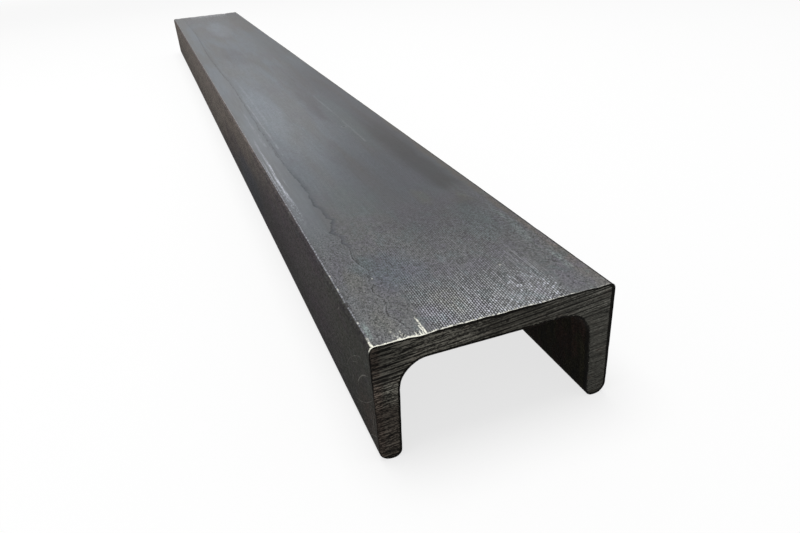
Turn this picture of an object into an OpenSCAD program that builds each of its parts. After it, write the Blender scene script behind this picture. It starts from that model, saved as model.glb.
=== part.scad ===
// Hot-rolled steel U channel, one cut length of stock, lying with its toes down.
// X runs across the web, Y along the length and Z up. The origin is on the floor,
// midway between the flanges and midway along the length.

/* [Channel] */
// Width over the two flanges, the size that the channel is sold by
channel_width = 50; // [40:0.5:80]
// Height of a flange, from its toe to the outside of the web
channel_height = 26.4; // [20:0.1:40]
// Length that the piece is cut to
channel_length = 500; // [100:10:3000]

/* [Walls] */
// Thickness of the web
web_thickness = 5.1; // [3:0.1:7]
// Thickness of a flange, taken half way up it
flange_thickness = 5.2; // [4:0.1:7]
// Slope of a flange's inner face, in percent, which thins the flange towards its toe
flange_taper = 4; // [0:0.5:8]

/* [Corners] */
// Radius between the web and a flange, inside the trough
root_radius = 5.8; // [2:0.1:8]
// Radius of a flange's toe on the trough's side
toe_inner_radius = 1.8; // [0.5:0.1:3]
// Radius of a flange's toe on the outside
toe_outer_radius = 2.5; // [0.5:0.1:3]
// Radius of the corner between the web and a flange, on the outside
corner_radius = 1.4; // [0.3:0.1:2]

/* [Hidden] */
$fn = 96;

half_width = channel_width / 2;
slope = flange_taper / 100;
trough_height = channel_height - web_thickness;

// The trough's cut reaches this far past the toes.
overshoot = 1;
// A corner's wedge reaches this far past the corner's two sides.
overlap = 0.4;
// An arc is drawn this much wide of its radius.
hair = 0.002;

// Half the trough's width at height z. The flanges are thickest at the web.
function trough_half(z) = half_width - flange_thickness - slope * (z - channel_height / 2);

// The two toe radii never take more than the toe's own thickness, less a narrow flat.
toe_flat = 0.1;
toe_thickness = half_width - trough_half(0);
toe_share = min(1, (toe_thickness - toe_flat) / (toe_inner_radius + toe_outer_radius));

// Unit directions along the sides that meet at the section's corners, on its +X half.
inward = [-1, 0];
outward = [1, 0];
down = [0, -1];
up = [0, 1];
down_flange = [slope, -1] / norm([slope, 1]);
up_flange = -down_flange;

// What lies between a sharp corner and the arc that rounds it off.
// side_a and side_b point from the corner along its two sides. The wedge reaches past
// both sides by overlap, and its arc is a hair wide, so that it crosses them cleanly.
module corner_wedge(corner, side_a, side_b, radius) {
    half_angle = acos(side_a * side_b) / 2;
    bisector = (side_a + side_b) / norm(side_a + side_b);
    centre = corner + bisector * radius / sin(half_angle);
    reach = radius / tan(half_angle);
    growth = (radius + overlap) / radius;
    tips = [for (tip = [corner + side_a * reach, corner, corner + side_b * reach])
        centre + (tip - centre) * growth];
    difference() {
        polygon(concat([centre], tips));
        translate(centre) circle(r = radius + hair);
    }
}

module both_sides() {
    children();
    mirror([1, 0]) children();
}

// The hollow between the flanges, open at the toes and rounded at the roots.
module trough() {
    mouth = trough_half(-overshoot);
    roof = trough_half(trough_height);
    difference() {
        polygon([[-mouth, -overshoot], [mouth, -overshoot], [roof, trough_height], [-roof, trough_height]]);
        both_sides()
            corner_wedge([roof, trough_height], inward, down_flange, root_radius);
    }
}

// The metal that a rounded toe leaves off.
module toe_rounding() {
    corner_wedge([trough_half(0), 0], up_flange, outward, toe_inner_radius * toe_share);
    corner_wedge([half_width, 0], up, inward, toe_outer_radius * toe_share);
}

// The metal that the rounded corner of web and flange leaves off.
module outer_corner_rounding() {
    corner_wedge([half_width, channel_height], inward, down, corner_radius);
}

// The rolled section, toes down on the X axis.
module section() {
    difference() {
        translate([-half_width, 0]) square([channel_width, channel_height]);
        trough();
        both_sides() toe_rounding();
        both_sides() outer_corner_rounding();
    }
}

module channel() {
    color("dimgray")
        rotate([90, 0, 0])
            linear_extrude(height = channel_length, center = true)
                section();
}

channel();
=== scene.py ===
import math

import bpy
import numpy as np
from mathutils import Euler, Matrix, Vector
from mathutils.geometry import delaunay_2d_cdt


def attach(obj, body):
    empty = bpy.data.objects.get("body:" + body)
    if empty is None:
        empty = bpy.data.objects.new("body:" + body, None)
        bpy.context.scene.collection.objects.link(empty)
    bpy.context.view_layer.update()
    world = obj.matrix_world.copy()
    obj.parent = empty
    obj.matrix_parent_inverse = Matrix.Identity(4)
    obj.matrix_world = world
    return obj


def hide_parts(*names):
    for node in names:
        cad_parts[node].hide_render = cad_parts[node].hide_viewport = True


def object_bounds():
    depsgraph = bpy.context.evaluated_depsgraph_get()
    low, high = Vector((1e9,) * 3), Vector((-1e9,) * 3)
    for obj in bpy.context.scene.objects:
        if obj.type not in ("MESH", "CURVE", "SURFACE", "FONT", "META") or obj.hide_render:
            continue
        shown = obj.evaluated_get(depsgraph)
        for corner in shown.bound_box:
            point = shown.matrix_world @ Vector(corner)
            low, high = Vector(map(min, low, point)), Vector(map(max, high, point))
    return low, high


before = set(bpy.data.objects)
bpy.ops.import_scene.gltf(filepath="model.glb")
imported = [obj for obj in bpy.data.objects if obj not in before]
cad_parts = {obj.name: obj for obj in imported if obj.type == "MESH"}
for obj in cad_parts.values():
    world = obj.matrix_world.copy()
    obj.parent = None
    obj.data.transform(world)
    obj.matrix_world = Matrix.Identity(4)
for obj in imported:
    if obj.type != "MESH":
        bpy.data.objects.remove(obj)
cad_low, cad_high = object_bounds()

MM = 0.001
SEED = 41

# --- the channel's sizes

HALF_WIDTH = (cad_high[0] - cad_low[0]) / 2 / MM
HEIGHT = (cad_high[2] - cad_low[2]) / MM
LENGTH = (cad_high[1] - cad_low[1]) / MM
NEAR_Y = cad_low[1] / MM
WEB = 5.1
FLANGE = 5.2
TAPER = 0.04
ROOT_RADIUS = 5.8
TOE_INNER_RADIUS = 1.8
TOE_OUTER_RADIUS = 2.5
CORNER_RADIUS = 1.4

# The middles of the rounds.
ROOT_Z = HEIGHT - WEB - ROOT_RADIUS
TOE_X = HALF_WIDTH - TOE_OUTER_RADIUS
CORNER_X = HALF_WIDTH - CORNER_RADIUS
CORNER_Z = HEIGHT - CORNER_RADIUS

# The skin and the cuts lie this far inside the sharp size, so that burrs can stand on them.
SKIN_SETBACK = 0.1
CUT_SETBACK = 0.14

# A face of the web counts as its top where its normal points up by at least this much, and
# edges that turn by more than this many degrees stay sharp.
FLAT_ENOUGH = 0.98
SHARP_TURN = 40

# The points that fill a cut: the spacing of their rows, which follow the saw's lines, and of the
# points in a row, and how far from the rim the rows and the ring of points round them keep. A
# point of that ring that lands nearer the rim than the least is left out.
CUT_ROW = 0.19
CUT_POINT = 1.3
CUT_ROWS_INSET = 0.75
CUT_RING_INSET = 0.35
CUT_RING_LEAST = 0.2

# The channel's material slots: the web's top, the rest of the rolled skin and the cuts.
WEB_SLOT, SKIN_SLOT, CUT_SLOT = range(3)

# The saw's lines climb across the cut by this slope, a little more to the right.
SAW_SLOPE = 0.083
SAW_BOW = 0.0004


# --- numbers

# The noise's table of random numbers: its length, and primes that spread places over it.
TABLE_LENGTH = 4093
PRIMES = (7919, 104729, 1299709)


def noise(x, y, z, size, seed):
    """Smooth seeded noise from -1 to 1. size gives the grain's size along each axis."""
    table = np.random.default_rng(SEED + seed).uniform(-1, 1, TABLE_LENGTH)
    place = [np.asarray(v, float) / s for v, s in zip((x, y, z), size)]
    cell = [np.floor(v).astype(np.int64) for v in place]
    part = [v - c for v, c in zip(place, cell)]
    ease = [p * p * (3 - 2 * p) for p in part]
    total = 0
    for corner in range(8):
        step = (corner & 1, corner >> 1 & 1, corner >> 2 & 1)
        index = sum((c + s) * prime for c, s, prime in zip(cell, step, PRIMES))
        weight = 1
        for s, e in zip(step, ease):
            weight = weight * (e if s else 1 - e)
        total = total + table[index % TABLE_LENGTH] * weight
    return total


def smooth_step(value, low, high):
    """0 where value is at low, 1 where it is at high, smooth between."""
    part = np.clip((value - low) / (high - low), 0, 1)
    return part * part * (3 - 2 * part)


def spaced(stops):
    """Numbers from 0 on, where stops lists (up to here, with this spacing)."""
    out = [0]
    for end, step in stops:
        start = out[-1]
        count = max(1, round((end - start) / step))
        out += [start + (end - start) * (i + 1) / count for i in range(count)]
    return np.array(out)


# --- the section's outline

def straight(start, end, normal, step):
    """Points from start to end at most a step apart, each with the same normal."""
    count = max(1, math.ceil(math.dist(start, end) / step))
    t = np.linspace(0, 1, count + 1)[:, None]
    points = np.array(start) * (1 - t) + np.array(end) * t
    return points, np.tile(np.array(normal, float), (len(points), 1))


def arc(centre, radius, start, end, count, outward=1):
    """Points on an arc between two angles in degrees, with normals that leave its centre."""
    angle = np.radians(np.linspace(start, end, count + 1))
    spoke = np.c_[np.cos(angle), np.sin(angle)]
    return np.array(centre) + radius * spoke, outward * spoke


def trough_half(z):
    """Half the trough's width at a height, between the flanges' tapered inner faces."""
    return HALF_WIDTH - FLANGE - TAPER * (z - HEIGHT / 2)


def side_outline():
    """The +X side's points and normals, from the web's underside round to the web's top."""
    lean = math.degrees(math.atan(TAPER))
    lengthen = math.hypot(1, TAPER)
    face = (-1 / lengthen, -TAPER / lengthen)
    root = (trough_half(ROOT_Z) - ROOT_RADIUS * lengthen, ROOT_Z)
    toe_in = (trough_half(TOE_INNER_RADIUS) + TOE_INNER_RADIUS * lengthen, TOE_INNER_RADIUS)
    root_arc = arc(root, ROOT_RADIUS, 90, lean, 10, outward=-1)
    toe_in_arc = arc(toe_in, TOE_INNER_RADIUS, 180 + lean, 270, 6)
    toe_out_arc = arc((TOE_X, TOE_OUTER_RADIUS), TOE_OUTER_RADIUS, 270, 360, 7)
    corner_arc = arc((CORNER_X, CORNER_Z), CORNER_RADIUS, 0, 90, 9)
    inner = straight(root_arc[0][-1], toe_in_arc[0][0], face, 1.6)
    flat = straight(toe_in_arc[0][-1], toe_out_arc[0][0], (0, -1), 1)
    outer = straight(toe_out_arc[0][-1], corner_arc[0][0], (1, 0), 1.1)
    runs = [root_arc, inner, toe_in_arc, flat, toe_out_arc, outer, corner_arc]
    return [np.vstack([run[k][:-1] for run in runs] + [corner_arc[k][-1:]]) for k in (0, 1)]


def whole_outline():
    """The closed section's points (x, z) and outward normals, closest together by the seam."""
    points, normals = side_outline()
    across = np.concatenate([
        np.arange(CORNER_X - 0.4, CORNER_X - 3, -0.5),
        np.arange(CORNER_X - 3, -12, -0.6),
        np.arange(-12, -15.6, -0.4),
        np.arange(-15.6, -19.4, -0.25),
        np.arange(-19.4, 0.2 - CORNER_X, -0.45),
    ])
    top = np.c_[across, np.full_like(across, HEIGHT)]
    root_x = points[0, 0]
    under_x = np.linspace(-root_x, root_x, 15)[1:-1]
    under = np.c_[under_x, np.full_like(under_x, HEIGHT - WEB)]
    flip = np.array([-1, 1])
    loop = np.vstack([points, top, points[::-1] * flip, under])
    facing = np.vstack([normals, np.tile([0, 1], (len(top), 1)),
                        normals[::-1] * flip, np.tile([0, -1], (len(under), 1))])
    return loop, facing


# --- relief of the rolled skin

# The seam where a tongue of scale ends, as distance from the cut and place across the web.
SEAM = np.array([
    (0, -15.3), (2, -16), (4, -16.5), (6, -17), (7, -17.5), (8, -18.2), (10, -17.9),
    (12, -17.2), (14, -17.3), (16, -17.9), (18, -17.7), (22, -17.6), (25, -16.6), (27, -16),
    (29, -17.1), (34, -17.3), (38, -16.9), (40.5, -17), (41.5, -17.9), (42.8, -17), (45, -16.8),
    (46.5, -17.5), (48.2, -18.4), (50, -17.7), (53, -16.8), (56, -16), (56.9, -17.2), (60, -16.8),
    (64, -17), (65.2, -18), (68, -17.7), (72, -17.3), (76, -17), (82, -17.3), (95, -18),
    (120, -18.4), (150, -18), (220, -17), (300, -18.5), (400, -16.5), (500, -18),
])

# Small pits in the web's top: distance from the cut, place across, radius and depth.
PITS = [
    (9.4, -21.6, 0.36, 0.14), (28, -20, 0.34, 0.1), (26.3, -3.6, 0.4, 0.09),
    (10.8, -17.2, 0.26, 0.08), (19, -14.2, 0.28, 0.08), (33.5, 4.6, 0.34, 0.08),
    (43, -19.2, 0.45, 0.1), (1, 13.4, 0.55, 0.12), (131, 9, 0.7, 0.1), (287, -6, 0.7, 0.12),
    (362, 14, 0.6, 0.1), (441, -11, 0.7, 0.12),
]

# The scar by the near cut where a splinter of burr was torn away.
SCAR_X = -14.1
SCAR_LENGTH = 6

# Where the cut's upper edge is torn down beside the scar.
TORN_X = -15.4


def seam_across(along):
    """Where the seam runs across the web, at a distance from the near cut."""
    wander = 0.16 * noise(along, 0, 0, (3.1, 1, 1), 1)
    wander = wander + 0.2 * noise(along, 0, 0, (1.1, 1, 1), 2)
    return np.interp(along, SEAM[:, 0], SEAM[:, 1]) + wander


def burr_height(x, z, seed):
    """How much of the burr stands at a place round the cut's edge, from 0 to 1."""
    ragged = 0.5 + 0.5 * noise(x, 0, z, (1.3, 1, 1.3), seed)
    ragged = ragged * (0.6 + 0.4 * noise(x, 0, z, (5, 1, 5), seed + 1))
    on_top = smooth_step(z, HEIGHT - 1.2, HEIGHT - 0.3)
    left_share = 0.55 + 0.45 * smooth_step(-x, 8, 14)
    return np.clip(ragged * (0.25 + 0.75 * on_top * left_share), 0, 1)


def chipped(x, z):
    """How deep the cut's edge is chipped at a place round the section."""
    waves = 0.5 * noise(x, 0, z, (2.6, 1, 2.6), 7)
    waves = waves + 0.5 * noise(x, 0, z, (1.1, 1, 1.1), 8)
    torn = 0.26 * np.exp(-((x - TORN_X) / 1.3) ** 2)
    on_top = smooth_step(z, HEIGHT - 1, HEIGHT - 0.2)
    return (0.07 + 0.09 * on_top) * np.clip(waves + 0.25, 0, 1) + torn * on_top


def skin_depth(x, z, along):
    """How far the rolled skin lies inside the sharp size."""
    on_top = smooth_step(z, HEIGHT - 0.2, HEIGHT - 0.02)
    near_toe = 1 - smooth_step(z, 0.3, 2.5)
    swell = 0.045 * noise(x, along, z, (14, 60, 14), 3)
    ripple = 0.012 * noise(x, along, z, (1.6, 4.5, 1.6), 4)
    from_seam = x - seam_across(along)
    broken = smooth_step(noise(along, 0, 0, (4, 1, 1), 6), -0.5, 0.2)
    shelf = 0.022 * smooth_step(from_seam, -0.3, 0.4)
    crack = 0.035 * np.exp(-(from_seam / 0.22) ** 2) * broken
    scar = 0.1 * np.exp(-((x - SCAR_X) / 0.8) ** 2) * (1 - smooth_step(along, 1, SCAR_LENGTH))
    from_end = np.minimum(along, LENGTH - along)
    seen_x = np.where(along < LENGTH / 2, x, -x)
    chips = chipped(seen_x, z) * (1 - smooth_step(from_end, 0.3, 2))
    pits = 0
    for pit_along, pit_x, radius, deep in PITS:
        pits = pits + deep * np.exp(-((x - pit_x) ** 2 + (along - pit_along) ** 2) / radius ** 2)
    corner_gap = np.hypot(np.abs(x) - HALF_WIDTH, z - HEIGHT)
    knock = np.clip(noise(x, along, z, (40, 3.2, 40), 5) - 0.4, 0, 1)
    knock = knock * 0.16 * (1 - smooth_step(corner_gap, 0.8, 2.2))
    depth = SKIN_SETBACK + swell + ripple + knock + chips + (shelf + crack + scar + pits) * on_top
    return np.clip(depth * (1 - 0.8 * near_toe), 0.005, None)


# --- the mesh

def put_in_scene(name, data):
    """A new object with this data, in the scene."""
    thing = bpy.data.objects.new(name, data)
    bpy.context.scene.collection.objects.link(thing)
    return thing


def stations():
    """Distances from the near cut at which the section is repeated."""
    return spaced([(0.25, 0.25), (2, 0.35), (58, 0.56), (150, 1.15), (470, 2.6), (497, 1.2),
                   (LENGTH - 0.5, 0.5), (LENGTH - 0.25, 0.25)])[1:]


def end_rings(x, z, seed):
    """The burr's lip and the cut's own edge: each ring's depth and distance from the cut."""
    burr = burr_height(x, z, seed)
    shake = noise(x, 0, z, (0.9, 1, 0.9), seed + 4)
    lip_depth = np.clip(0.09 - 0.085 * burr + chipped(x, z), 0.004, None)
    lip_along = np.clip(0.055 - 0.04 * burr + 0.012 * shake, 0.004, None)
    edge_depth = lip_depth + 0.1 + 0.03 * burr
    edge_along = np.full(len(x), CUT_SETBACK)
    return (lip_depth, lip_along), (edge_depth, edge_along)


def saw_climb(x):
    """How far a saw line has climbed at x, from where it crossed the channel's middle."""
    return SAW_SLOPE * x + SAW_BOW * x ** 2


def saw_relief(x, z, seed):
    """Height of the saw's lines over the cut's plane."""
    level = z - saw_climb(x)
    coarse = noise(x * 0.05, 0, level, (1, 1, 0.62), seed + 1)
    fine = noise(x * 0.12, 0, level, (1, 1, 0.38), seed + 2)
    return 0.02 * coarse + 0.018 * fine


def inside_outline(x, z, inset):
    """Whether points lie in the section, at least inset from its sides."""
    side = np.abs(x)
    root_x = trough_half(ROOT_Z) - ROOT_RADIUS

    def beyond(centre_x, centre_z, radius):
        return np.hypot(side - centre_x, z - centre_z) > radius

    in_web = z > HEIGHT - WEB + inset
    in_flange = side > trough_half(z) + inset
    in_root = (side > root_x) & (z > ROOT_Z) & beyond(root_x, ROOT_Z, ROOT_RADIUS + inset)
    off_toe = (side > TOE_X) & (z < TOE_OUTER_RADIUS)
    off_toe &= beyond(TOE_X, TOE_OUTER_RADIUS, TOE_OUTER_RADIUS - inset)
    off_inner_toe = (side <= TOE_X) & (z < TOE_INNER_RADIUS)
    off_inner_toe &= beyond(TOE_X, TOE_INNER_RADIUS, TOE_INNER_RADIUS - inset)
    off_corner = (side > CORNER_X) & (z > CORNER_Z)
    off_corner &= beyond(CORNER_X, CORNER_Z, CORNER_RADIUS - inset)
    in_box = (side < HALF_WIDTH - inset) & (z > inset) & (z < HEIGHT - inset)
    return (in_web | in_flange | in_root) & in_box & ~(off_toe | off_inner_toe | off_corner)


def from_ring(points, ring):
    """Each point's distance from a closed ring."""
    nearest = np.full(len(points), np.inf)
    for start, run in zip(ring, np.roll(ring, -1, 0) - ring):
        part = np.clip((points - start) @ run / (run @ run), 0, 1)
        gap = points - start - part[:, None] * run
        nearest = np.minimum(nearest, np.hypot(gap[:, 0], gap[:, 1]))
    return nearest


def cap(ring, seed):
    """Fills a cut's edge ring: points (x, z), their height over the cut, faces and sources.

    A point's source is its number in the ring, or a number past the ring's for a new point.
    """
    count = len(ring)
    tangent = np.roll(ring, -1, 0) - np.roll(ring, 1, 0)
    tangent = tangent / np.linalg.norm(tangent, axis=1)[:, None]
    inset_ring = ring + CUT_RING_INSET * np.c_[-tangent[:, 1], tangent[:, 0]]
    inset_ring = inset_ring[inside_outline(*inset_ring.T, CUT_RING_LEAST)]
    rows = []
    for row, level in enumerate(np.arange(-2.5, HEIGHT + 3, CUT_ROW)):
        x = np.arange(-HALF_WIDTH, HALF_WIDTH, CUT_POINT) + CUT_POINT / 2 * (row % 2)
        z = level + saw_climb(x)
        rows.append(np.c_[x, z][inside_outline(x, z, CUT_ROWS_INSET)])
    points = np.vstack([ring, inset_ring] + rows)
    edges = [(i, (i + 1) % count) for i in range(count)]
    filled = delaunay_2d_cdt([Vector(p) for p in points], edges, [], 1, 1e-6)
    verts, _, faces, sources, *_ = filled
    verts = np.array([tuple(v) for v in verts])
    sources = np.array([s[0] for s in sources])
    height = saw_relief(verts[:, 0], verts[:, 1], seed)
    return verts, height, faces, sources


def build_channel():
    """The whole length as one closed mesh, with each point's distance from rim and seam."""
    loop, facing = whole_outline()
    count = len(loop)
    x, z = loop.T
    near_lip, near_edge = end_rings(x, z, 11)
    far_lip, far_edge = end_rings(-x, z, 21)
    rings = [near_edge, near_lip]
    rings += [(skin_depth(x, z, along), np.full(count, along)) for along in stations()]
    rings += [(far_lip[0], LENGTH - far_lip[1]), (far_edge[0], LENGTH - far_edge[1])]
    depth = np.array([ring[0] for ring in rings])
    along = np.array([ring[1] for ring in rings])
    section = loop[None] - facing[None] * depth[:, :, None]
    verts = np.stack([section[..., 0], along, section[..., 1]], -1).reshape(-1, 3)

    start = np.arange(len(rings) - 1)[:, None] * count
    here = np.arange(count)
    after = (here + 1) % count
    quads = np.stack([start + here, start + count + here, start + count + after, start + after], -1)
    faces = quads.reshape(-1, 4).tolist()
    upward = (facing[:, 1] + np.roll(facing[:, 1], -1)) / 2
    slots = np.where(upward > FLAT_ENOUGH, WEB_SLOT, SKIN_SLOT)
    slots = np.tile(slots, len(rings) - 1).tolist()

    from_rim = np.zeros(len(verts))
    for ring_number, seed, at_near in ((0, 31, True), (len(rings) - 1, 51, False)):
        cap_verts, height, cap_faces, sources = cap(section[ring_number], seed)
        on_ring = sources < count
        number = np.where(on_ring, ring_number * count + sources, 0)
        number[~on_ring] = len(verts) + np.arange(np.count_nonzero(~on_ring))
        inward = CUT_SETBACK - height
        cut_along = inward if at_near else LENGTH - inward
        new = np.c_[cap_verts[:, 0], cut_along, cap_verts[:, 1]][~on_ring]
        verts = np.vstack([verts, new])
        distance = from_ring(cap_verts[~on_ring], section[ring_number])
        from_rim = np.concatenate([from_rim, distance])
        for face in cap_faces:
            corners = [int(number[k]) for k in face]
            faces.append(corners if at_near else corners[::-1])
            slots.append(CUT_SLOT)

    mesh = bpy.data.meshes.new("rolled_channel")
    placed = verts + np.array([0, NEAR_Y, 0])
    mesh.from_pydata((placed * MM).tolist(), [], faces)
    mesh.polygons.foreach_set("material_index", slots)
    mesh.update()
    from_seam = verts[:, 0] - seam_across(verts[:, 1])
    for name, values in (("from_rim", from_rim), ("from_seam", from_seam)):
        layer = mesh.attributes.new(name, "FLOAT", "POINT")
        layer.data.foreach_set("value", values.astype(np.float32))
    mesh.shade_smooth()
    mesh.set_sharp_from_angle(angle=math.radians(SHARP_TURN))
    return put_in_scene("rolled_channel", mesh)


# --- material tools

def srgb(red, green, blue):
    """A colour from 0 to 255 as it shows, turned into the linear numbers of a shader."""
    def linear(v):
        v = v / 255
        return v / 12.92 if v <= 0.04045 else ((v + 0.055) / 1.055) ** 2.4
    return (linear(red), linear(green), linear(blue), 1)


# A colour Mix node's sockets share their names, so they are taken by number.
MIX_FACTOR, MIX_A, MIX_B, MIX_RESULT = 0, 6, 7, 2


def operator(operation):
    """A method of Value that works one of the Math node's operations out."""
    return lambda self, *others: self.nodes.math(operation, self, *others)


class Value:
    """A number that a shader works out for each point, which can be used in ordinary sums."""

    def __init__(self, nodes, socket):
        self.nodes = nodes
        self.socket = socket

    __add__ = __radd__ = operator("ADD")
    __mul__ = __rmul__ = operator("MULTIPLY")
    __sub__ = operator("SUBTRACT")
    __truediv__ = operator("DIVIDE")
    __abs__ = operator("ABSOLUTE")

    def __rsub__(self, other):
        return self.nodes.math("SUBTRACT", other, self)

    def fade(self, low, high, start=0, end=1, kind="SMOOTHSTEP"):
        """start where this is at low, end where it is at high, smooth between, or as kind says."""
        inputs = [self, low, high, start, end]
        node = self.nodes.node("MapRange", inputs, interpolation_type=kind)
        return Value(self.nodes, node.outputs[0])

    def blend(self, a, b):
        """a where this is 0, b where it is 1, even between."""
        return self.fade(0, 1, a, b, "LINEAR")


class Nodes:
    """The nodes of a material or a world, with short calls that make them."""

    def __init__(self, owner):
        owner.use_nodes = True
        self.tree = owner.node_tree
        self.tree.nodes.clear()

    def node(self, kind, inputs=(), **settings):
        """Makes a node. inputs lists what its first sockets take, or says it socket by socket."""
        node = self.tree.nodes.new("ShaderNode" + kind)
        for key, value in settings.items():
            setattr(node, key, value)
        for key, value in inputs.items() if isinstance(inputs, dict) else enumerate(inputs):
            self.feed(node.inputs[key], value)
        return node

    def feed(self, socket, value):
        if isinstance(value, Value):
            value = value.socket
        if isinstance(value, bpy.types.NodeSocket):
            self.tree.links.new(value, socket)
        else:
            socket.default_value = value

    def math(self, operation, *values):
        return Value(self, self.node("Math", values, operation=operation).outputs[0])

    def vector(self, operation, *values):
        return self.node("VectorMath", values, operation=operation).outputs[0]

    def most(self, *values):
        """The highest of the values, at each point."""
        out = values[0]
        for value in values[1:]:
            out = self.math("MAXIMUM", out, value)
        return out


class Graph(Nodes):
    """A material of the channel: its places, its noises and the colour painted so far.

    Places are in millimetres: x across, along from the near cut, z up from the toes.
    """

    def __init__(self, name, colour):
        self.material = bpy.data.materials.new(name)
        super().__init__(self.material)
        self.colour = colour
        place = self.node("TexCoord").outputs["Object"]
        from_near_cut = self.vector("ADD", place, (0, -NEAR_Y * MM, 0))
        self.place = self.vector("DIVIDE", from_near_cut, (MM, MM, MM))
        self.x, self.along, self.z = self.split(self.place)
        self.from_cut = self.math("MINIMUM", self.along, LENGTH - self.along)

    def split(self, vector):
        parts = self.node("SeparateXYZ", [vector]).outputs
        return [Value(self, part) for part in parts]

    def attribute(self, name):
        return Value(self, self.node("Attribute", attribute_name=name).outputs["Fac"])

    def random(self, dimensions, **inputs):
        """A number from 0 to 1 that is drawn anew for each value of its input."""
        node = self.node("TexWhiteNoise", inputs, noise_dimensions=dimensions)
        return Value(self, node.outputs["Value"])

    def mix(self, factor, a, b):
        """Colour a where factor is 0 and colour b where it is 1."""
        inputs = {MIX_FACTOR: factor, MIX_A: a, MIX_B: b}
        return self.node("Mix", inputs, data_type="RGBA").outputs[MIX_RESULT]

    def paint(self, tone, share):
        """Lays a tone over the colour so far. Its share is how far it covers that."""
        self.colour = self.mix(share, self.colour, tone)

    def shade(self, colour, strength):
        """The colour made lighter or darker: strength 1 leaves it as it is."""
        inputs = {"Vector": colour, "Scale": strength}
        return self.node("VectorMath", inputs, operation="SCALE").outputs[0]

    def noise_node(self, size, detail, roughness, distortion, shift):
        across, along, *up = size
        stretched = self.vector("DIVIDE", self.place, (across, along, *(up or [across])))
        moved = self.vector("ADD", stretched, (shift, 1.7 * shift, 2.3 * shift))
        return self.node("TexNoise", {
            "Vector": moved, "Scale": 1, "Detail": detail, "Roughness": roughness,
            "Distortion": distortion})

    def noise(self, size, detail=2, roughness=0.6, distortion=0, shift=0):
        """Noise from 0 to 1. size gives its grain across, along and, where that differs, up."""
        node = self.noise_node(size, detail, roughness, distortion, shift)
        return Value(self, node.outputs["Fac"])

    def wandered(self, size, reach, shift):
        """x and along, each moved about by noise, so that what is placed by them looks grown."""
        moved = self.noise_node(size, 3, 0.55, 0, shift).outputs["Color"]
        centred = self.vector("SUBTRACT", moved, (0.5, 0.5, 0.5))
        reached = self.vector("MULTIPLY", centred, reach)
        return self.split(self.vector("ADD", self.place, reached))[:2]

    def patch(self, place, across, along, wide, long):
        """A soft patch, 1 at its middle and 0 beyond wide and long from it."""
        side = self.math("MULTIPLY_ADD", place[0], 1 / wide, -across / wide)
        far = self.math("MULTIPLY_ADD", place[1], 1 / long, -along / long)
        return self.math("MULTIPLY_ADD", side, side, far * far).fade(1, 0.1)

    def spots(self, place, spots, growth=1):
        """Round soft spots, each given by its two places and its radius."""
        return self.most(*[self.patch(place, a, b, radius * growth, radius * growth)
                           for a, b, radius in spots])

    def finish(self, roughness, metallic, height, depth, specular):
        """Joins the surface up. depth is what a height of 1 stands for, in millimetres."""
        bump = self.node("Bump", {"Distance": depth * MM, "Height": height})
        shader = self.node("BsdfPrincipled", {
            "Base Color": self.colour, "Roughness": roughness, "Metallic": metallic,
            "Specular IOR Level": specular, "Normal": bump.outputs[0]})
        self.node("OutputMaterial", {"Surface": shader.outputs[0]})
        return self.material


# --- the colours of the steel, and of its painted sheen, highlights and shade

GREY = srgb(86, 87, 88)
BLUE_GREY = srgb(92, 99, 106)
SLATE = srgb(74, 81, 92)
VIOLET_GREY = srgb(84, 82, 91)
TEAL_GREY = srgb(80, 91, 93)
OLIVE_GREY = srgb(90, 90, 83)
# Painted sheen: tones for the web's pale patches.
SHEEN_BLUE = srgb(123, 132, 141)
SHEEN_GREY = srgb(114, 119, 124)
PALE_TEAL = srgb(116, 127, 126)
SHADOW_VIOLET = srgb(62, 59, 65)
BROWN_GREY = srgb(88, 82, 76)
SEAM_SHADE_BLUE = srgb(46, 52, 60)
TAN = srgb(143, 133, 124)
WARM_GREY = srgb(80, 77, 76)
GREEN_GREY = srgb(76, 76, 70)
PLUM_GREY = srgb(80, 73, 77)
DULL_BROWN = srgb(82, 70, 63)
CORNER_SHADE_VIOLET = srgb(56, 53, 58)
# Soot black, for dark lines, pits and saw lines, and for painted shade along edges and corners.
SOOT_AND_SHADE = srgb(24, 22, 22)
RIM_SHADE_BLACK = srgb(12, 10, 9)
TROUGH_BROWN = srgb(62, 59, 47)
TROUGH_RED = srgb(70, 56, 50)
CUT_GREY = srgb(95, 93, 86)
CUT_PALE = srgb(100, 99, 93)
CUT_BROWN = srgb(86, 74, 67)
CUT_GLINT = srgb(150, 148, 138)
BARE_STEEL = srgb(238, 237, 224)
# Rubbed steel, for wear and for painted highlights.
RUBBED_STEEL_AND_HIGHLIGHT = srgb(168, 171, 178)
# Painted highlight: the colour of the glints and sheen painted onto the web.
PAINTED_GLINT = srgb(214, 217, 228)
SCRATCH_STEEL = srgb(172, 170, 162)
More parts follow.
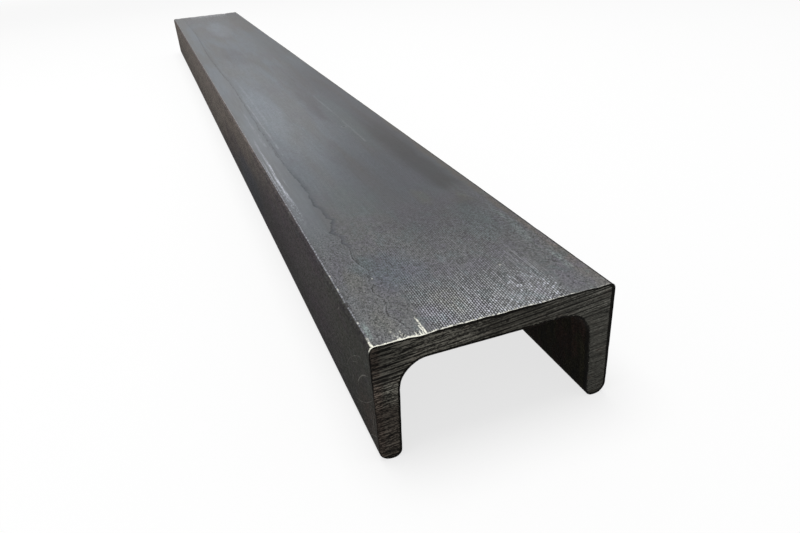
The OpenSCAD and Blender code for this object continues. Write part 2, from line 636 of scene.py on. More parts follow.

# Painted light and shade: the sheen grey and sheen blue patches below are a painted sheen, and the
# shadow violet ones painted shade.
# Broad marks on the web: tone, place across and along, half width, half length, and strength.
WEB_PATCHES = [
    (SHEEN_GREY, -11, 190, 20, 120, 0.38),
    (SHEEN_GREY, -22, 105, 5, 70, 0.5),
    (SHEEN_BLUE, -12, 170, 7, 60, 0.45),
    (SHADOW_VIOLET, 12, 70, 24, 60, 0.36),
    (SHADOW_VIOLET, 20, 160, 20, 110, 0.55),
    (SHADOW_VIOLET, 6, 165, 3, 32, 0.4),
    (SLATE, -11, 25, 8, 11, 0.6),
    (SLATE, 9, 75, 9, 30, 0.4),
    (VIOLET_GREY, -10, 4, 4, 5, 0.6),
    (OLIVE_GREY, -6, 9, 4, 6, 0.55),
    (OLIVE_GREY, -20, 22, 2.6, 7, 0.4),
    (OLIVE_GREY, -19.5, 8, 3, 7, 0.45),
    (OLIVE_GREY, 8.5, 58, 3.4, 6, 0.6),
    (OLIVE_GREY, 17, 51, 3.4, 5, 0.6),
    (TEAL_GREY, 14, 38, 6, 13, 0.5),
    (TEAL_GREY, -17, 27, 2.4, 6, 0.5),
    (TEAL_GREY, -8, 66, 8, 16, 0.4),
    (VIOLET_GREY, 3, 47, 7, 13, 0.45),
    (VIOLET_GREY, 14, 55, 5, 9, 0.4),
    (BROWN_GREY, 24.4, 70, 2.6, 110, 0.85),
    (BROWN_GREY, 23.2, 9, 3.4, 17, 0.5),
    (PALE_TEAL, 20.9, 13, 1.2, 7, 0.45),
    (PALE_TEAL, 20.7, 34, 1, 15, 0.35),
    (PALE_TEAL, -23.2, 4.6, 1, 5, 0.6),
    (TEAL_GREY, 12, 140, 5, 50, 0.5),
    (BLUE_GREY, 14, 345, 12, 70, 0.5),
    (SHADOW_VIOLET, -6, 300, 7, 40, 0.35),
    (BROWN_GREY, 18, 430, 8, 60, 0.45),
    (SHEEN_BLUE, 0, 410, 9, 50, 0.35),
]

# Thin dark and light marks along the web: place across, start, end, half width and strength.
DARK_LINES = [
    (-22.3, 1, 16, 0.2, 0.6), (-19.3, 40, 49, 0.26, 0.55), (-12.9, 1, 8, 0.15, 0.9),
    (6.7, 4, 19, 0.26, 0.5), (13.4, 9, 27, 0.15, 0.55), (14.7, 17, 27, 0.15, 0.5),
    (22.4, 9, 30, 0.32, 0.45), (-17.8, 108, 135, 0.28, 0.6), (-17.6, 240, 330, 0.3, 0.4),
    (9.5, 210, 300, 0.3, 0.4),
]
LIGHT_LINES = [
    (1.3, 15, 23, 0.15, 0.7), (11.6, 12, 21, 0.15, 0.6), (12.6, 9, 27, 0.13, 0.45),
    (14, 8, 31, 0.14, 0.55), (-16.5, 108, 205, 0.45, 0.55), (-19.9, 122, 180, 0.6, 0.4),
    (-14, 150, 240, 0.6, 0.3), (10.5, 110, 200, 0.5, 0.25),
]


# --- marks shared by the skins

def burr(g):
    """Bare bright metal on the ragged lip that the saw left round each cut."""
    ragged = g.noise((0.45, 0.55), 3, 0.7, shift=31)
    clumps = g.noise((0.9, 2.4), shift=37)
    on_top = g.z.fade(HEIGHT - 1.4, HEIGHT - 0.5)
    left = g.x.fade(-12.8, -13.8)
    right = g.x.fade(14, 17)
    torn = g.x.fade(-20.2, -18.6) * left
    clump = torn * clumps.fade(0.38, 0.62) * ragged.fade(0.34, 0.58) * 0.58
    holes = g.noise((0.8, 1.2), shift=35).fade(0.36, 0.5, 0.25, 1)
    thick = left * (0.27 + ragged.fade(0.35, 0.65) * torn.blend(0.08, 0.2) + clump)
    dotted = ragged.fade(0.38, 0.58) * g.x.fade(-6, 6, 0.34, 0.42) + g.x.fade(4, -10, 0, 0.14)
    reach = g.most(thick, dotted) * on_top
    strength = right.blend(1, 0.4) * g.most(holes * 0.85, left)
    worn = (torn * g.from_cut.fade(0.3, 0.7) * ragged.fade(0.62, 0.46)).blend(1, 0.5)
    return (g.from_cut - reach).fade(0.07, -0.05) * strength * worn


def bend(g):
    """How lines along the length stray sideways, around 0."""
    return g.noise((60, 6), 3, shift=5) - 0.5


def broken_lines(g, marks):
    """Thin broken lines along the length, which a table of marks lists."""
    swayed = g.x + bend(g) * 0.7
    lines = []
    for across, start, end, half, strength in marks:
        body = abs(swayed - across).fade(half, half * 0.3)
        ended = g.along.fade(end, end - 0.3 * (end - start))
        lines.append(body * g.along.fade(start, start + 1.5) * ended * strength)
    return g.most(*lines) * g.noise((0.8, 5), 3, 0.65, shift=9).fade(0.36, 0.56)


def grains(g):
    """Wormy grain, fine, middling and coarse, each around 0."""
    worms = g.noise((0.3, 0.44), 2, 0.65, 1, shift=3)
    curls = g.noise((0.55, 0.95), 2, 0.6, 1.2, shift=6)
    lumps = g.noise((1.5, 2.6), 3, 0.65, 0.9, shift=29)
    return [grain - 0.5 for grain in (worms, curls, lumps)]


# --- the web's top

# The rolls' woven marks: the spacing of their rows and of the dots along a row. The rows widen
# to the right of the middle by WEAVE_WIDEN.
WEAVE_ROW = 0.46
WEAVE_DOT = 0.86
WEAVE_WIDEN = 0.004


def roll_marks(g):
    """The woven marks of the rolls around 0, how much they show, and their glints, which are painted
    highlights.
    """
    stray = g.noise((2.4, 4), shift=15) - 0.5
    jitter = g.noise((0.8, 1.5), shift=17) - 0.5
    rightward = (g.x + stray * 8).fade(-4, 5)
    widened = g.math("POWER", g.most(g.x, 0), 2)
    row = g.x / WEAVE_ROW - widened * WEAVE_WIDEN + stray + jitter * 0.5
    row_number = g.math("FLOOR", row)
    phase = g.random("1D", W=row_number)
    dot = row_number * 0.5 + g.along / WEAVE_DOT + jitter * 0.5 + phase * rightward * 0.15
    cell = g.node("CombineXYZ", [row_number, g.math("FLOOR", dot), 0])
    chance = g.random("2D", Vector=cell.outputs[0])
    hump_across = g.math("SINE", g.math("FRACT", row) * math.pi)
    hump_along = g.math("SINE", g.math("FRACT", dot) * math.pi)
    marks = hump_across * (hump_along * 0.6 + 0.4) * (chance * 0.4 + 0.6)
    marks = marks.fade(0.22, 0.68, -0.42, 0.58)
    marks = marks * (1 + rightward * (chance * 0.9 - 0.28))
    strokes = g.noise((0.34, 0.75), 2, 0.65, shift=85)
    marks = marks + strokes.fade(0.36, 0.66, -0.5, 0.5) * rightward * 0.32
    uneven = g.noise((5, 6), 3, 0.5, shift=19).fade(0.32, 0.56, 0.72, 1)
    near_cut = g.from_cut.fade(24, 4, 0.16, 1) * g.from_cut.fade(50, 26, 0.3, 1)
    middle = abs(g.x - 1.2).fade(15.4, 12)
    shows = near_cut * middle * uneven

    limit = 1.02 + g.from_cut.fade(18, 2) * g.x.fade(-10, 8, -0.06, -0.18)
    lucky = (chance + stray * 0.4 - limit).fade(0, 0.04)
    glint = hump_across.fade(0.5, 0.85) * hump_along.fade(0.35, 0.75) * lucky
    glint = glint * middle * g.from_cut.fade(22, 4) * g.x.fade(-10, 8, 0.45, 1)
    return marks, shows, glint


# Where the seam's step casts its deepest shades: distance from the cut and half length.
SEAM_SHADES = [(41.4, 1.3), (48.3, 2.8), (54.6, 2.4), (66, 2.6)]


def seam_marks(g, from_seam):
    """The seam: thin and dark by the cut, further on the soft blue painted shadow of its step, and a
    light ridge by it.
    """
    soft = g.along.fade(30, 46)
    broken = g.noise((4, 2.6), 3, 0.7, shift=51).fade(0.38, 0.54, 0.1, 1)
    jagged = g.noise((0.7, 0.8), 3, 0.7, shift=55)
    from_seam = from_seam + (jagged - 0.5) * 1.3
    thin = abs(from_seam).fade(soft.blend(0.24, 0.32), 0.04) * broken * soft.blend(0.75, 0.36)
    uneven = g.noise((4, 6), shift=53).fade(0.3, 0.6, 0.35, 1)
    step = from_seam.fade(-0.22, 0.08) * from_seam.fade(1.7, 0.1) * uneven * soft
    deep = g.most(*[abs(g.along - at).fade(long, long * 0.4) for at, long in SEAM_SHADES])
    shade = from_seam.fade(-0.3, 0.1) * from_seam.fade(1.5, 0.2) * deep
    step = g.most(step * g.along.fade(82, 112, 0.75, 0.22), shade * 0.95)
    ridge = abs(from_seam + 0.34).fade(0.2, 0.04)
    ridge = ridge * broken * soft.blend(0.36, 0)
    return thin, step, ridge


# Ribbons of painted sheen along the web's left edge: place across, half width, start, end and
# strength.
RIBBONS = [(-22.4, 0.55, 66, 142, 1), (-23.55, 0.34, 76, 122, 1), (-20.9, 0.3, 74, 112, 0.45)]


def edge_highlights(g):
    """Light ribbons of painted sheen along the web's left edge, with loose specks where they begin.
    """
    swayed = g.x + (g.noise((60, 11), shift=48) - 0.5) * 1.3
    threads = g.noise((0.34, 9), shift=41).fade(0.38, 0.58, 0.15, 1)
    specks = g.noise((0.34, 1.2), shift=44).fade(0.46, 0.62)
    ribbons = []
    for across, half, start, end, strength in RIBBONS:
        body = abs(swayed - across).fade(half, half * 0.25)
        begun = g.along.fade(start, start + 16)
        ribbons.append(body * begun * g.along.fade(end, end - 50) * strength)
    body = g.most(*ribbons) * threads * specks.blend(0.55, 1)
    strip = abs(swayed + 22.8).fade(1, 0.4)
    loose = specks * strip * g.along.fade(50, 72) * g.along.fade(100, 80) * 0.34
    return g.most(body, loose) * g.x.fade(1 - HALF_WIDTH, 1.3 - HALF_WIDTH)


def web_light(g, from_seam, marks, shows, grain, streaks):
    """How light the web's top is, with its painted shade, where 1 leaves its colours as they are,
    and its grain's share.
    """
    worms, curls, lumps = grain
    tongue = from_seam.fade(0.3, -0.5)
    calm = tongue * g.along.fade(36, 56)
    sharp_grain = calm.blend(1, 0.4) * g.from_cut.fade(66, 32, 0.24, 1)
    curly = g.from_cut.fade(4, 22, 0.35, 1) * tongue.blend(1, 0.5)
    middle = abs(g.x - 1.5).fade(15, 10)
    near_light = (g.from_cut.fade(16, 1, 1, 1.17)
                  * (1 + middle * g.from_cut.fade(14, 3) * g.x.fade(-8, 6, 0.32, 0.46)))
    # Painted shade: dim_middle, dim_right, dim_centre, far_right and the shadow patch darken the
    # web's middle and right, and the far end is a little darker.
    dim_middle = g.along.fade(8, 42) * g.along.fade(125, 80)
    dim_right = g.x.fade(-8, 22) * g.along.fade(34, 90)
    dim_centre = (g.x.fade(-10, 1) * g.x.fade(22, 15, 0.5, 1) * g.along.fade(16, 46)
                  * g.along.fade(160, 90))
    x, along = g.wandered((5, 14), (4, 14, 4), 49)
    shadow_patch = x.fade(12, 16.4) * x.fade(22.8, 19.4) * along.fade(56, 65) * along.fade(165, 84)
    shadow_patch = g.most(shadow_patch, g.patch((x, along), 17.2, 49.5, 3.2, 4.6) * 0.42)
    far_right = g.x.fade(10, 18) * g.along.fade(70, 120)
    light = (1 + (streaks - 0.5) * 0.46 + worms * sharp_grain * tongue.blend(5.2, 6.8)
             + curls * sharp_grain * curly * 2.8 + lumps * sharp_grain * 0.5 + marks * shows * 3.9
             + tongue * 0.04)
    light = (g.most(light, 0.12) * near_light * dim_middle.blend(1, 0.84) * dim_right.blend(1, 0.84)
             * shadow_patch.blend(1, 0.46) * far_right.blend(1, 0.8) * dim_centre.blend(1, 0.72)
             * g.along.fade(150, 210, 1, 0.96))
    return light, sharp_grain


def web_scale():
    """The web's top: blue-grey scale with roll marks by the cuts, a seam and painted sheen by its
    left edge.
    """
    g = Graph("web_scale", GREY)
    bands = g.noise((7, 70), 4, 0.55, 0.4)
    cloud = g.noise((14, 30), 3, 0.6, 0.6, shift=7)
    tints = g.noise((3, 5.5), 2, 0.6, 0.6, shift=13)
    streaks = g.noise((0.7, 15), 3, shift=21)
    grain = grains(g)
    worms, curls, lumps = grain
    from_seam = g.attribute("from_seam")

    g.paint(BLUE_GREY, bands.fade(0.36, 0.64) * g.from_cut.fade(15, 90))
    g.paint(VIOLET_GREY, cloud.fade(0.48, 0.74, 0, 0.6))
    grown = g.wandered((6, 16), (5, 18, 5), 43)
    for tone, across, along, wide, long, share in WEB_PATCHES:
        g.paint(tone, g.patch(grown, across, along, wide, long) * share)
    tinted = g.from_cut.fade(90, 40, 0.4, 1) * from_seam.fade(-0.5, 0.5, 0.35, 1)
    g.paint(TEAL_GREY, tints.fade(0.52, 0.66, 0, 0.42) * tinted)
    g.paint(VIOLET_GREY, tints.fade(0.48, 0.36, 0, 0.45) * tinted)

    marks, shows, glint = roll_marks(g)
    light, sharp_grain = web_light(g, from_seam, marks, shows, grain, streaks)
    # The grain, the weave and the painted shade lighten or darken the web's colour.
    g.colour = g.shade(g.colour, light)
    # The weave's dots are lightened, partly as wear on their ridges and partly as painted highlight.
    g.paint(RUBBED_STEEL_AND_HIGHLIGHT, g.most(marks, 0) * shows * 0.6)
    # Painted highlight: the weave's glints.
    g.paint(PAINTED_GLINT, glint)

    near = g.wandered((0.8, 1), (0.45, 0.6, 0.45), 47)
    dark = broken_lines(g, DARK_LINES)
    pale = broken_lines(g, LIGHT_LINES)
    seam, step, ridge = seam_marks(g, from_seam)
    pits = [(across, along, radius) for along, across, radius, _ in PITS]
    g.paint(RUBBED_STEEL_AND_HIGHLIGHT, g.most(pale, ridge) * 0.45)
    # Painted highlight: sheen streaks along the web's left edge.
    g.paint(PAINTED_GLINT, edge_highlights(g) * 0.84)
    g.paint(RUBBED_STEEL_AND_HIGHLIGHT, g.spots(near, pits, 2) * 0.15)
    g.paint(SOOT_AND_SHADE, dark * 0.6)
    # Painted shadow: the seam's step shades the web beside it in soft blue.
    g.paint(SEAM_SHADE_BLUE, step * 0.85)
    g.paint(SOOT_AND_SHADE, seam)
    g.paint(SOOT_AND_SHADE, g.spots(near, pits) * 0.9)
    bare = g.most(burr(g), torn_spots(g, near))
    g.paint(BARE_STEEL, bare)

    roughness = 0.5 + worms * 0.2 - glint * 0.15 + seam * 0.2
    height = (worms * sharp_grain + curls * sharp_grain + lumps * 0.5 + marks * shows + streaks * 0.3
              - seam - dark * 0.5)
    return g.finish(roughness, bare * 0.5, height, 0.03, 0.3)


# The scar's rays: place across at the cut, slant, half width and length.
SCAR_RAYS = [
    (-13.95, -0.03, 0.24, 7.4), (-14.35, -0.04, 0.2, 5), (-14.85, -0.1, 0.22, 2.4),
    (-15.5, -0.2, 0.2, 1.9),
]
# Specks of bare metal on the web: place across and along, and radius.
TORN_SPECKS = [(-19.7, 3.2, 0.26), (-13.6, 8.3, 0.18), (-16.5, 23, 0.28), (8.8, 16.5, 0.34)]


def torn_spots(g, near):
    """Bright streaks and specks where splinters of the burr were torn off the near cut."""
    ragged = g.noise((0.26, 0.7), 3, 0.75, shift=71)
    rays = []
    for across, slant, half, length in SCAR_RAYS:
        gap = abs(near[0] - across - g.along * slant)
        shown = (ragged - g.along.fade(0.3 * length, length, 0, 0.16)).fade(0.38, 0.48)
        rays.append(gap.fade(half, half * 0.4) * shown * g.along.fade(length, 0.6 * length))
    field = abs(g.x + 18.6).fade(2.2, 0.6) * g.along.fade(4, 1)
    specks = (g.noise((0.3, 0.5), shift=73) + field * 0.16).fade(0.72, 0.78)
    return g.most(g.most(*rays) * 0.85, specks * field.fade(0.02, 0.2) * 0.62,
                  g.spots(near, TORN_SPECKS) * 0.45)


# --- flanges and trough

# Scratches on the left flange by the near cut: where each starts and ends (along, then up), how
# far it bows out on its way, its half width and its strength.
STROKES = [
    (3.2, 18.3, 10.4, 12, 0.55, 0.18, 1), (10.3, 12.6, 9.6, 9, 0.35, 0.13, 0.7),
    (8, 18, 13, 15, 0.15, 0.09, 0.5), (1.4, 19.4, 4, 17.6, 0.1, 0.1, 0.5),
    (6.2, 20.6, 13.6, 15.8, 0.2, 0.1, 0.75), (13.2, 16, 18.8, 10.2, 0.35, 0.12, 0.4),
    (0.5, 14.8, 14.9, 4.9, -0.8, 0.1, 0.6), (18.2, 24.6, 20.3, 22.9, 0, 0.13, 0.8),
    (0.2, 6.2, 5.6, 2.4, 0.1, 0.1, 0.6), (13, 11.9, 15.3, 8.4, 0.25, 0.12, 0.45),
    (26, 14, 33, 8.5, 0.2, 0.1, 0.3),
]


def scratches(g):
    """Thin light scratches and a few upright lines on the outside of the left flange."""
    marks = []
    for along, up, far_along, far_up, bow, half, strength in STROKES:
        length = math.hypot(far_along - along, far_up - up)
        way = (far_along - along) / length, (far_up - up) / length
        from_along, from_up = g.along - along, g.z - up
        part = from_along * way[0] / length + from_up * way[1] / length
        aside = from_up * way[0] - from_along * way[1]
        curve = part * (1 - part) * 4 * bow
        body = abs(aside - curve).fade(half, half * 0.3)
        marks.append(body * part.fade(0, 0.15) * part.fade(1, 0.9) * strength)
    upright = g.noise((5, 0.35, 9), 2, 0.5, shift=81).fade(0.52, 0.66)
    upright = upright * g.along.fade(4.5, 2) * g.z.fade(13, 8) * 0.8
    broken = g.noise((2, 1.2, 1.2), shift=83).fade(0.34, 0.56, 0.3, 1)
    return g.most(upright, *marks) * broken * g.x.fade(1 - HALF_WIDTH, 0.5 - HALF_WIDTH)


# Where bright beads sit on the rubbed edge, as distances from the cut.
BEADS = (8.6, 22, 28)


def rubbed_edge_and_highlight(g):
    """The thin rubbed line along the web's left edge, worn and with its highlight painted in, and
    its bright beads.
    """
    place = abs(g.x + HALF_WIDTH - 0.98 + bend(g) * 0.3)
    broken = g.noise((3, 0.8), 3, 0.75, shift=61).fade(0.4, 0.6, 0.18, 1)
    above = g.z.fade(HEIGHT - 0.9, HEIGHT - 0.5)
    nick = abs(g.along - 15.6).fade(1.4, 0.6)
    line = place.fade(0.23, 0.07) * broken * above * nick.blend(0.92, 0.15)
    lumpy = g.noise((0.5, 0.6), 2, 0.7, shift=63).fade(0.44, 0.54, 0.15, 1)
    by_cut = place.fade(0.36, 0.14) * g.along.fade(4.4, 1.8) * lumpy * above
    beads = g.most(*[g.patch((g.x, g.along), 1 - HALF_WIDTH, at, 0.18, 0.5) for at in BEADS])
    return line, g.most(by_cut, beads * 0.6)


def flange_scale():
    """The flanges, the long corners and the trough: dull warm scale, tan in places, painted shade
    inside.
    """
    g = Graph("flange_scale", WARM_GREY)
    cloud = g.noise((12, 26, 9), 3, 0.6, 0.6, shift=7)
    mottle = g.noise((5, 9, 3.2), 3, 0.6, 0.5, shift=11)
    smudges = g.noise((1.3, 2.6, 1), 3, 0.65, 0.4, shift=15)
    streaks = g.noise((0.9, 14, 0.7), 3, shift=23)
    worms, curls, lumps = grains(g)
    place = (g.z, g.along)

    g.paint(PLUM_GREY, cloud.fade(0.38, 0.66))
    g.paint(GREEN_GREY, (g.from_cut + mottle * 10).fade(44, 22) * 0.85)
    g.paint(PLUM_GREY, mottle.fade(0.5, 0.68, 0, 0.5))
    g.paint(TEAL_GREY, smudges.fade(0.54, 0.7, 0, 0.3))
    tan = (g.along + mottle * 50 + g.z * 6).fade(221, 331) * mottle.fade(0.3, 0.62, 0.6, 1)
    g.paint(TAN, tan * 0.8)
    g.paint(SLATE, g.patch(place, 9, 142, 9, 34) * 0.45)
    g.paint(PLUM_GREY, g.patch(place, 15, 176, 5, 34) * 0.35)
    brown = g.from_cut.fade(15, 5) * g.z.fade(16, 9) * smudges.fade(0.34, 0.54, 0.25, 1)
    g.paint(DULL_BROWN, brown * 0.7)

    # Painted shade: the flanges darken towards their foot, in a low patch, in the trough and by the
    # toes. They are also darker by the cut.
    upper = g.z.fade(0, 25)
    dusk = g.patch(place, 2, 100, 17, 70)
    light = (upper.blend(0.46, 0.98) + (streaks - 0.5) * 0.4 + worms * 4 + curls * 2
             + (smudges - 0.5) * 0.9)
    light = g.most(light, 0.1) * g.from_cut.fade(30, 8, 1, 0.82) * dusk.blend(1, 0.72)
    trough = abs(g.x).fade(HALF_WIDTH - 1, HALF_WIDTH - 4.2)
    rusty = g.noise((3, 5, 7), 3, shift=69).fade(0.46, 0.62)
    runs = g.noise((4, 1.8, 10), 3, shift=65).fade(0.38, 0.62, 0.6, 2.2)
    # The trough's dark brown and red: its rusty scale, darkened as painted shade in the recess.
    g.paint(g.shade(g.mix(rusty, TROUGH_BROWN, TROUGH_RED), runs), trough)
    by_toe = g.z.fade(6.5, 3) * g.from_cut.fade(60, 30)
    light = light * trough.blend(1, 0.75) * by_toe.blend(1, 0.72)
    ragged = g.noise((1.4, 0.8), 3, 0.7, shift=67)
    # Painted shade: ragged dark bands along the cuts' edges, in the trough and on the flanges.
    trough_edge_shade = trough * (g.from_cut - ragged * 2.2).fade(0.3, -0.3) * 0.85
    cut_edge_shade = (g.from_cut - ragged * 0.8).fade(0.2, -0.15, 0, 0.8)
    cut_edge_shade = cut_edge_shade * g.z.fade(HEIGHT - 1.6, HEIGHT - 2.4) * g.z.fade(11, 17, 0.5, 1)
    # The flanges' grain and their painted shade.
    g.colour = g.shade(g.colour, light)
    # Painted shade along the cuts' edges.
    g.paint(SOOT_AND_SHADE, g.most(trough_edge_shade, cut_edge_shade))
    g.paint(SCRATCH_STEEL, scratches(g) * 0.55)

    # Painted shade: a dark violet band on the long rounded corners.
    patchy = g.noise((0.9, 2.2), 3, 0.7, shift=57)
    corner_shade = g.z.fade(HEIGHT - 1.6, HEIGHT - 1.1) * patchy.fade(0.66, 0.42, 0.3, 0.9)
    g.paint(CORNER_SHADE_VIOLET, corner_shade * 0.55)
    # Painted shade on the right long corner and the top of the right flange.
    right_corner_shade = g.x.fade(HALF_WIDTH - 1.3, HALF_WIDTH - 0.9) * g.z.fade(HEIGHT - 2.5, HEIGHT - 1.2)
    g.paint(SOOT_AND_SHADE, right_corner_shade * 0.75)
    edge, bead = rubbed_edge_and_highlight(g)
    # Painted highlight and wear: the shiny rubbed line along the left edge.
    g.paint(RUBBED_STEEL_AND_HIGHLIGHT, edge)
    bare = g.most(burr(g), bead)
    g.paint(BARE_STEEL, bare)

    roughness = 0.72 + worms * 0.25
    height = worms + curls * 0.8 + lumps * 0.6 + streaks * 0.4
    return g.finish(roughness, bare * 0.5, height, 0.045, 0.03)


# --- the cut ends

# Saw lines that stand out, dark and light, the light ones painted highlights: their level at the
# channel's middle, their half width, where they start and end across, and their strength. The saw's
# feed is about 1.05.
DEEP_LINES = [
    (24.4, 0.2, -26, 14, 0.8), (23.38, 0.21, -26, 26, 0.9), (22.33, 0.22, -26, 26, 0.95),
    (21.25, 0.29, -26, -16, 1), (21.04, 0.22, 13, 26, 0.95), (20.25, 0.24, -26, -17, 1),
    (20.03, 0.19, 13, 26, 0.8), (19.62, 0.17, -26, -17, 0.85), (25.5, 0.16, -20, 4, 0.5),
    (19, 0.15, 17, 26, 0.4), (18.3, 0.17, 17, 26, 0.5), (19.02, 0.16, -26, -17, 0.75),
    (18.4, 0.15, -26, -18, 0.6), (17.2, 0.15, 17, 26, 0.45), (13.2, 0.17, 17, 26, 0.45),
    (10.6, 0.15, 17, 26, 0.4), (16.9, 0.14, -26, -18, 0.4),
]
BRIGHT_LINES = [
    (22.03, 0.2, 0, 26, 1), (20.38, 0.2, 13, 26, 0.9), (22.66, 0.16, -26, 9, 0.6),
    (23.04, 0.14, -20, 22, 0.45), (21.64, 0.16, -26, -16, 0.9), (19.92, 0.15, -26, -17, 0.8),
    (20.84, 0.15, -26, -16, 0.9), (18.68, 0.17, 17, 26, 0.5), (23.74, 0.15, -20, 8, 0.35),
    (24.8, 0.15, -20, 8, 0.35),
]
# Dark spots on the cut: place across, height and radius.
CUT_SPOTS = [
    (23.6, 20, 0.36), (12.3, 21.7, 0.55), (13.2, 21.5, 0.45), (15.3, 21.4, 0.45),
    (-23.6, 11.3, 0.3), (10, 22.9, 0.3), (1.8, 24.2, 0.45), (-3.8, 23.8, 0.35),
]


def saw_lines(g, level, spread, pitch, shift):
    """Lines of the saw around 0: spread is how fast they change across, pitch their spacing."""
    place = g.node("CombineXYZ", [g.x * spread, shift, level / pitch]).outputs[0]
    noise = g.node("TexNoise", {"Vector": place, "Scale": 1, "Detail": 1})
    return Value(g, noise.outputs["Fac"]).fade(0.36, 0.64, -0.5, 0.5)


def marked_lines(g, level, marks):
    """The saw lines that a table of marks lists."""
    lines = []
    for at, half, start, end, strength in marks:
        body = abs(level - at).fade(half, half * 0.4)
        lines.append(body * g.x.fade(start, start + 2) * g.x.fade(end, end - 3) * strength)
    return g.most(*lines)


def cut_rim_shade(g):
    """Painted shade round a cut: a black ragged rim, wide along its upper edge and its right side.
    """
    ragged = g.noise((0.6, 1, 0.5), 3, 0.7, shift=39) - 0.5
    upper = g.x.fade(-13, -8, 0.06, 0.26) * g.x.fade(12, 5, 0.45, 1)
    upper = upper * g.z.fade(HEIGHT - 1.2, HEIGHT - 0.8)
    outer = g.x.fade(HALF_WIDTH - 1.6, HALF_WIDTH - 1.1) * g.z.fade(4, 17, 0.06, 0.34)
    cut_edge_shade = g.x.fade(5, 9) * g.x.fade(21.6, 20.6) * g.z.fade(22.8, 22)
    left = g.x.fade(1.3 - HALF_WIDTH, 0.8 - HALF_WIDTH)
    wide = (cut_edge_shade.blend(0.3, 0.2) + g.most(upper, outer) - left * 0.14
            + ragged * cut_edge_shade.blend(0.6, 1.6))
    rim = (g.attribute("from_rim") / g.most(wide, 0.08)).fade(1.15, 0.85)
    return rim * (left * g.z.fade(19, 13)).blend(1, 0.45)


def sawn_steel():
    """The cut ends: the saw's fine lines on dull steel, with painted light and shade, and painted
    shade round the rim.
    """
    g = Graph("sawn_steel", CUT_GREY)
    climb = g.x * (g.x * SAW_BOW + SAW_SLOPE)
    sway = (g.noise((12, 9, 7), 1, 0.5, shift=25) - 0.5) * 0.12
    level = g.z - climb + sway

    long = saw_lines(g, level, 0.028, 0.34, 1)
    fine = saw_lines(g, level, 0.2, 0.26, 5)
    specks = g.noise((0.48, 9, 0.17), 2, 0.65, shift=75).fade(0.36, 0.64, -0.5, 0.5)
    blotch = g.noise((3, 10, 2.2), 3, 0.65, shift=27)
    faint = g.noise((2.2, 9, 0.6), shift=33).fade(0.3, 0.5, 0.7, 1)

    deep = marked_lines(g, level, DEEP_LINES) * faint
    bright = marked_lines(g, level, BRIGHT_LINES) * faint
    g.paint(CUT_PALE, g.x.fade(6, 20))
    low = g.z.fade(15, 11)
    brown = g.most(g.x.fade(-22.4, -23.8, 0, 0.7), g.x.fade(-18, -21) * low * 0.5,
                   blotch.fade(0.52, 0.66) * low.blend(0.25, 0.6))
    g.paint(CUT_BROWN, brown)
    place = (g.x, g.z)
    corner = g.patch(place, -24.2, 24.4, 3.6, 3.8)
    root = g.x.fade(-13, -17) * g.z.fade(17.6, 19.4)
    right_web = g.x.fade(2, 9) * g.z.fade(20, 22)
    left = g.x.fade(4, -10)
    lined = g.most(root * 0.3, right_web * 0.24, 0.2)
    power = (long * lined * 3.2 + fine * (left.blend(1, 2.2) + root * 2)
             + specks * left.blend(1.2, 2.4))
    quiet = g.x.fade(14, 18) * g.z.fade(21.5, 19.5)
    power = power * quiet.blend(1, 0.68)
    light = g.math("MINIMUM", g.math("EXPONENT", power), 3)
    low_left = g.patch(place, -22.5, 10, 6, 3.6)
    left_side = g.x.fade(-17, -20) * g.z.fade(12, 14) * g.z.fade(20.5, 18.5)
    clear = g.x.fade(-20, -16) * g.x.fade(-1, -4) * g.z.fade(24.6, 22.6, 0.6, 1)
    dusky = g.patch(place, 1.5, 24.6, 9.5, 1.9)
    right_top = g.x.fade(13, 21) * g.z.fade(21.2, 22.6)
    right_side = g.x.fade(16, 19) * g.z.fade(9, 14) * g.z.fade(21, 19)
    right_toe = g.x.fade(16, 19) * g.z.fade(10, 7)
    # Painted light and shade over the cut: the corner, root, low left, dusky and right toe patches
    # darken it, and the left side, clear, right top and right side patches lighten it.
    shadow = (corner.blend(0.84, 0.54) * root.blend(1, 0.8) * low_left.blend(1, 0.62)
              * left_side.blend(1, 1.62) * clear.blend(1, 1.58) * dusky.blend(1, 0.72)
              * right_top.blend(1, 1.5) * right_side.blend(1, 1.22) * right_toe.blend(1, 0.9))
    g.colour = g.shade(g.colour, light * shadow)
    # Painted highlight: light lines along the saw's ridges.
    g.paint(CUT_GLINT, bright * 0.42)
    g.paint(SOOT_AND_SHADE, deep * 0.95)
    # Painted shade: the black ragged rim under the burr's lip and on the cut's rounded edges.
    g.paint(RIM_SHADE_BLACK, cut_rim_shade(g) * 0.96)
    g.paint(SOOT_AND_SHADE, g.spots(place, CUT_SPOTS) * 0.8)
    height = long * 0.2 + fine * 0.25 + specks * 0.2 - deep * 0.8
    return g.finish(0.6 + fine * 0.1, 0, height, 0.05, 0.04)


# --- floor, light and camera

# How far the floor reaches from the bar's middle, in metres.
FLOOR_REACH = 3


def white_rays(tree):
    """1 for the rays that the camera and reflections send out, 0 for the rays that light things."""
    path = tree.node("LightPath").outputs
    kinds = ("Is Camera Ray", "Is Glossy Ray", "Is Transmission Ray")
    return tree.most(*[path[kind] for kind in kinds])


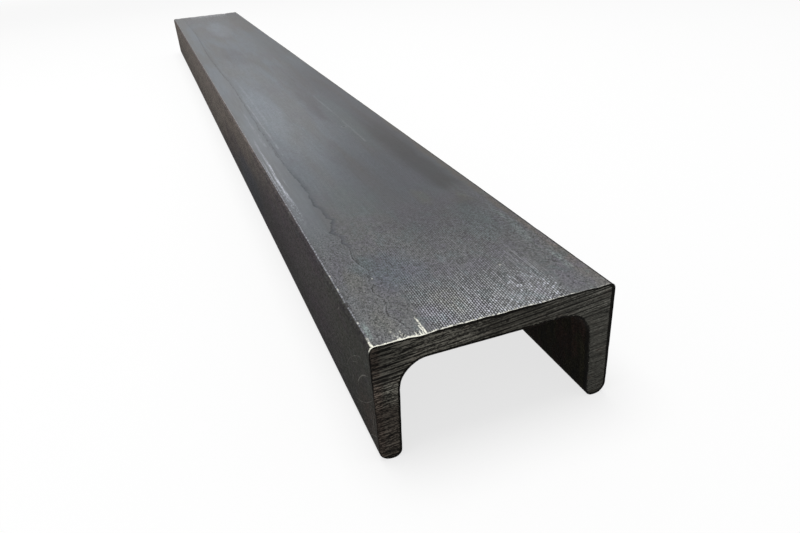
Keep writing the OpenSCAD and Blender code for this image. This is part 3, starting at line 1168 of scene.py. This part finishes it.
def make_floor():
    """A pale floor that is white to the eye and keeps a soft shadow."""
    mesh = bpy.data.meshes.new("floor")
    corners = [(-1, -1, 0), (1, -1, 0), (1, 1, 0), (-1, 1, 0)]
    mesh.from_pydata((np.array(corners) * FLOOR_REACH).tolist(), [], [(0, 1, 2, 3)])
    material = bpy.data.materials.new("pale_floor")
    mesh.materials.append(material)
    tree = Nodes(material)
    place = tree.node("TexCoord").outputs["Object"]
    length = tree.node("VectorMath", [place], operation="LENGTH").outputs["Value"]
    level = Value(tree, length).fade(0.6, 1.8, 0.74, 0.96)
    diffuse = tree.node("BsdfDiffuse", {"Color": (0.28, 0.28, 0.28, 1)})
    glow = tree.node("Emission", {"Strength": white_rays(tree) * level})
    both = tree.node("AddShader", [diffuse.outputs[0], glow.outputs[0]])
    tree.node("OutputMaterial", {"Surface": both.outputs[0]})
    floor = put_in_scene("floor", mesh)


def make_world():
    """Soft light from all round, seen as plain white."""
    world = bpy.data.worlds.new("studio")
    bpy.context.scene.world = world
    tree = Nodes(world)
    strength = white_rays(tree).blend(0.32, 1)
    light = tree.node("Background", {"Color": (1, 1, 1, 1), "Strength": strength})
    tree.node("OutputWorld", {"Surface": light.outputs[0]})


def make_lamp():
    """A round soft lamp over the bar, which faces its middle. Its places are in metres."""
    data = bpy.data.lights.new("overhead", "AREA")
    data.shape = "DISK"
    data.size = 0.9
    data.energy = 9
    lamp = put_in_scene("overhead", data)
    lamp.location = (-0.1, 0, 1.1)
    lamp.rotation_euler = (-lamp.location).to_track_quat("-Z", "Y").to_euler()


def make_camera():
    """Looks down on the near cut from its left, as one would stand over the end of the bar."""
    data = bpy.data.cameras.new("camera")
    data.sensor_width = 36
    data.lens = 29.5
    data.shift_x = -0.0006
    data.shift_y = 0.0326
    data.clip_start = 0.005
    camera = put_in_scene("camera", data)
    heading, tilt, roll = (math.radians(turn) for turn in (18.24, -30.32, -4.48))
    camera.location = (-47.5 * MM, (NEAR_Y - 88.6) * MM, 90.2 * MM)
    aim = Euler((math.pi / 2 + tilt, 0, -heading)).to_matrix()
    lean = Euler((0, 0, roll)).to_matrix()
    camera.rotation_euler = (aim @ lean).to_euler()
    bpy.context.scene.camera = camera


make_camera()
make_floor()
make_world()
make_lamp()

channel = build_channel()
for material in (web_scale(), flange_scale(), sawn_steel()):
    channel.data.materials.append(material)
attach(channel, "root")
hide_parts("channel")

bpy.context.scene.view_settings.view_transform = "Standard"
